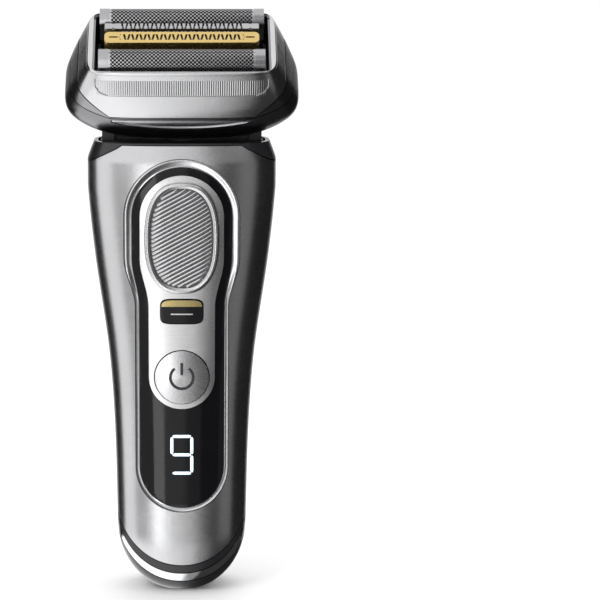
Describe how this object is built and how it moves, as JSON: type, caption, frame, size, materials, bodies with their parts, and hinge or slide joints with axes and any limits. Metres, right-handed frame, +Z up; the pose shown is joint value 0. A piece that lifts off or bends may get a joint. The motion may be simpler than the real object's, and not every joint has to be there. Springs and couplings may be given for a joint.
{
  "type": "electric shaver",
  "caption": "Cordless electric foil shaver with a tilting head, lift-off foil cassette, sliding lock switch, press button, display panel and pop-up back trimmer.",
  "frame": {"origin": "centre of the shaver's box, on the flat bottom of the cap", "axes": "+Z up along the handle, front of the shaver faces -Y, +X to the right of someone looking at the front"},
  "size_m": [0.067, 0.0422, 0.171],
  "materials": {
    "satin_silver": "satin metal faceplate, fine vertical sheen",
    "brushed_silver": "brushed",
    "bright_chrome": "polished",
    "foil_steel": "perforated foil, satin",
    "blade_steel": "ground steel",
    "gold_coating": "satin gold-coloured coating",
    "gloss_black": "high gloss",
    "soft_black": "fine moulded satin",
    "dark_grey": "dark metallic satin",
    "inner_plastic": "moulded",
    "white_plastic": "moulded",
    "board_green": "solder mask over glass-fibre board",
    "cell_wrap": "shrink wrap",
    "copper": "enamelled copper winding"
  },
  "bodies": {
    "handle": {"rear_housing": "soft_black", "front_faceplate": "satin_silver", "panel_bezel": "brushed_silver", "display_panel": "gloss_black", "control_plate": "brushed_silver", "badge_plate": "gloss_black", "bottom_cap": "soft_black", "chrome_band": "bright_chrome", "charge_pin_left": "gold_coating", "charge_pin_right": "gold_coating", "inner_chassis": "inner_plastic", "chassis_screw_1": "blade_steel", "chassis_screw_2": "blade_steel", "chassis_screw_3": "blade_steel", "chassis_screw_4": "blade_steel", "circuit_board": "board_green", "power_switch": "soft_black", "display_module": "white_plastic", "battery_cell": "cell_wrap", "battery_tab_lower": "blade_steel", "battery_tab_upper": "blade_steel", "neck_collar": "soft_black", "pivot_pin_left": "blade_steel", "pivot_pin_right": "blade_steel"},
    "lock": {"lock_switch": "brushed_silver", "lock_slider": "white_plastic"},
    "power": {"power_button": "brushed_silver"},
    "back_trimmer": {"trimmer_carriage": "dark_grey", "trimmer_comb": "blade_steel"},
    "back_trimmer_blade": {"trimmer_blade": "blade_steel"},
    "head": {"head_base": "dark_grey", "head_front_trim": "brushed_silver", "head_deck": "soft_black", "motor_core": "blade_steel", "motor_coil": "copper"},
    "release_left": {"release_button_left": "soft_black"},
    "release_right": {"release_button_right": "soft_black"},
    "front_drive": {"drive_arm_front": "blade_steel"},
    "rear_drive": {"drive_arm_rear": "blade_steel"},
    "cassette": {"cassette_frame": "soft_black", "frame_front_panel": "satin_silver", "frame_rear_panel": "satin_silver", "cassette_carrier": "inner_plastic"},
    "front_foil_unit": {"front_foil": "foil_steel", "front_foil_holder": "soft_black"},
    "rear_foil_unit": {"rear_foil": "foil_steel", "rear_foil_holder": "soft_black"},
    "gold_trimmer_unit": {"gold_trimmer_guard": "gold_coating"},
    "comb_trimmer_unit": {"comb_trimmer_guard": "foil_steel"},
    "front_cutter": {"front_cutter": "blade_steel"},
    "rear_cutter": {"rear_cutter": "blade_steel"},
    "gold_blade": {"gold_trimmer_blade": "blade_steel"},
    "comb_blade": {"comb_trimmer_blade": "blade_steel"}
  },
  "joints": [
    {"name": "head_tilt", "type": "hinge", "parent": "handle", "child": "head", "pos_m": [0, 0.00171, 0.1456], "axis": [1, 0, 0], "range_deg": [-40, 0]},
    {"name": "lock_slide", "type": "slide", "parent": "handle", "child": "lock", "axis": [0, 0, 1], "range_m": [0, 0.002]},
    {"name": "power_press", "type": "slide", "parent": "handle", "child": "power", "axis": [0, 1, 0], "range_m": [0, 0.0005], "stiffness_N_per_m": 400, "springref_m": -0.0005},
    {"name": "back_trimmer_slide", "type": "slide", "parent": "handle", "child": "back_trimmer", "axis": [0, 0, 1], "range_m": [0, 0.012]},
    {"name": "back_trimmer_swing", "type": "slide", "parent": "back_trimmer", "child": "back_trimmer_blade", "axis": [1, 0, 0], "range_m": [-0.0007, 0.0007]},
    {"name": "release_left_press", "type": "slide", "parent": "head", "child": "release_left", "axis": [1, 0, 0], "range_m": [0, 0.0012], "stiffness_N_per_m": 300, "springref_m": -0.0005},
    {"name": "release_right_press", "type": "slide", "parent": "head", "child": "release_right", "axis": [-1, 0, 0], "range_m": [0, 0.0012], "stiffness_N_per_m": 300, "springref_m": -0.0005},
    {"name": "cassette_lift", "type": "slide", "parent": "head", "child": "cassette", "axis": [0, -0.5736, 0.8192], "range_m": [0, 0.03]},
    {"name": "drive_swing", "type": "slide", "parent": "head", "child": "front_drive", "axis": [1, 0, 0], "range_m": [-0.0011, 0.0011]},
    {"name": "rear_drive_swing", "type": "slide", "parent": "head", "child": "rear_drive", "axis": [1, 0, 0], "range_m": [-0.0011, 0.0011]},
    {"name": "front_foil_float", "type": "slide", "parent": "cassette", "child": "front_foil_unit", "axis": [0, 0.5736, -0.8192], "range_m": [0, 0.0018], "stiffness_N_per_m": 250, "springref_m": -0.0005},
    {"name": "rear_foil_float", "type": "slide", "parent": "cassette", "child": "rear_foil_unit", "axis": [0, 0.5736, -0.8192], "range_m": [0, 0.0018], "stiffness_N_per_m": 250, "springref_m": -0.0005},
    {"name": "gold_trimmer_float", "type": "slide", "parent": "cassette", "child": "gold_trimmer_unit", "axis": [0, 0.5736, -0.8192], "range_m": [0, 0.0018], "stiffness_N_per_m": 250, "springref_m": -0.0005},
    {"name": "comb_trimmer_float", "type": "slide", "parent": "cassette", "child": "comb_trimmer_unit", "axis": [0, 0.5736, -0.8192], "range_m": [0, 0.0018], "stiffness_N_per_m": 250, "springref_m": -0.0005},
    {"name": "front_cutter_swing", "type": "slide", "parent": "front_foil_unit", "child": "front_cutter", "axis": [1, 0, 0], "range_m": [-0.0011, 0.0011]},
    {"name": "rear_cutter_swing", "type": "slide", "parent": "rear_foil_unit", "child": "rear_cutter", "axis": [1, 0, 0], "range_m": [-0.0011, 0.0011]},
    {"name": "gold_blade_swing", "type": "slide", "parent": "gold_trimmer_unit", "child": "gold_blade", "axis": [1, 0, 0], "range_m": [-0.0011, 0.0011]},
    {"name": "comb_blade_swing", "type": "slide", "parent": "comb_trimmer_unit", "child": "comb_blade", "axis": [1, 0, 0], "range_m": [-0.0011, 0.0011]}
  ],
  "couplings": [
    {"joint": "rear_drive_swing", "follows": "drive_swing", "ratio": -1},
    {"joint": "front_cutter_swing", "follows": "drive_swing", "ratio": 1},
    {"joint": "gold_blade_swing", "follows": "drive_swing", "ratio": 1},
    {"joint": "rear_cutter_swing", "follows": "drive_swing", "ratio": -1},
    {"joint": "comb_blade_swing", "follows": "drive_swing", "ratio": -1}
  ]
}
